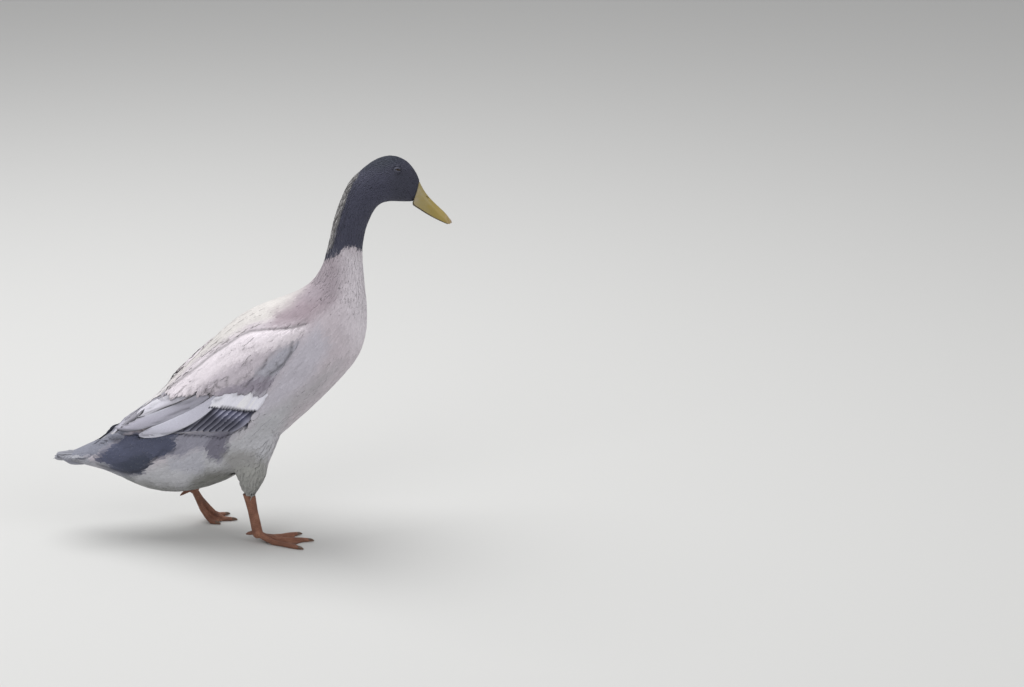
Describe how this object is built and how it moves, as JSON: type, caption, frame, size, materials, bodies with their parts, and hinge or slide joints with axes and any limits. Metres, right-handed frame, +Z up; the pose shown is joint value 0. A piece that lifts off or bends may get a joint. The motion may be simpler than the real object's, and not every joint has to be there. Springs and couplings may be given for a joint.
{
  "type": "indian runner duck",
  "caption": "Life-size still model of an upright, slim-bodied duck in mid stride, with a long neck, folded wings and webbed feet.",
  "frame": {"origin": "on the floor, under the middle of the box round the bird, feet standing on z = 0", "axes": "+X is the way the duck walks and its bill points, +Y is its left side, +Z is up"},
  "size_m": [0.4658, 0.1342, 0.4588],
  "materials": {
    "feathers_dark": "soft charcoal slate plumage with a faint gloss",
    "feathers_pale": "matte lilac-grey plumage",
    "feathers_wing": "matte mauve-brown plumage with slate and pale bars",
    "feathers_slate": "matte slate-blue plumage",
    "leg_skin": "scaly orange-brown skin, satin",
    "bill_horn": "smooth olive-yellow horn, satin",
    "eye": "wet dark eye, high gloss"
  },
  "bodies": {
    "root": {"head": "feathers_dark", "neck": "feathers_dark", "torso": "feathers_pale", "wing_right": "feathers_wing", "wing_left": "feathers_wing", "tail": "feathers_slate", "thigh_right": "feathers_pale", "thigh_left": "feathers_pale", "shank_right": "leg_skin", "shank_left": "leg_skin", "foot_right": "leg_skin", "foot_left": "leg_skin", "bill_upper": "bill_horn", "bill_lower": "bill_horn", "eye_right": "eye", "eye_left": "eye"}
  },
  "joints": []
}
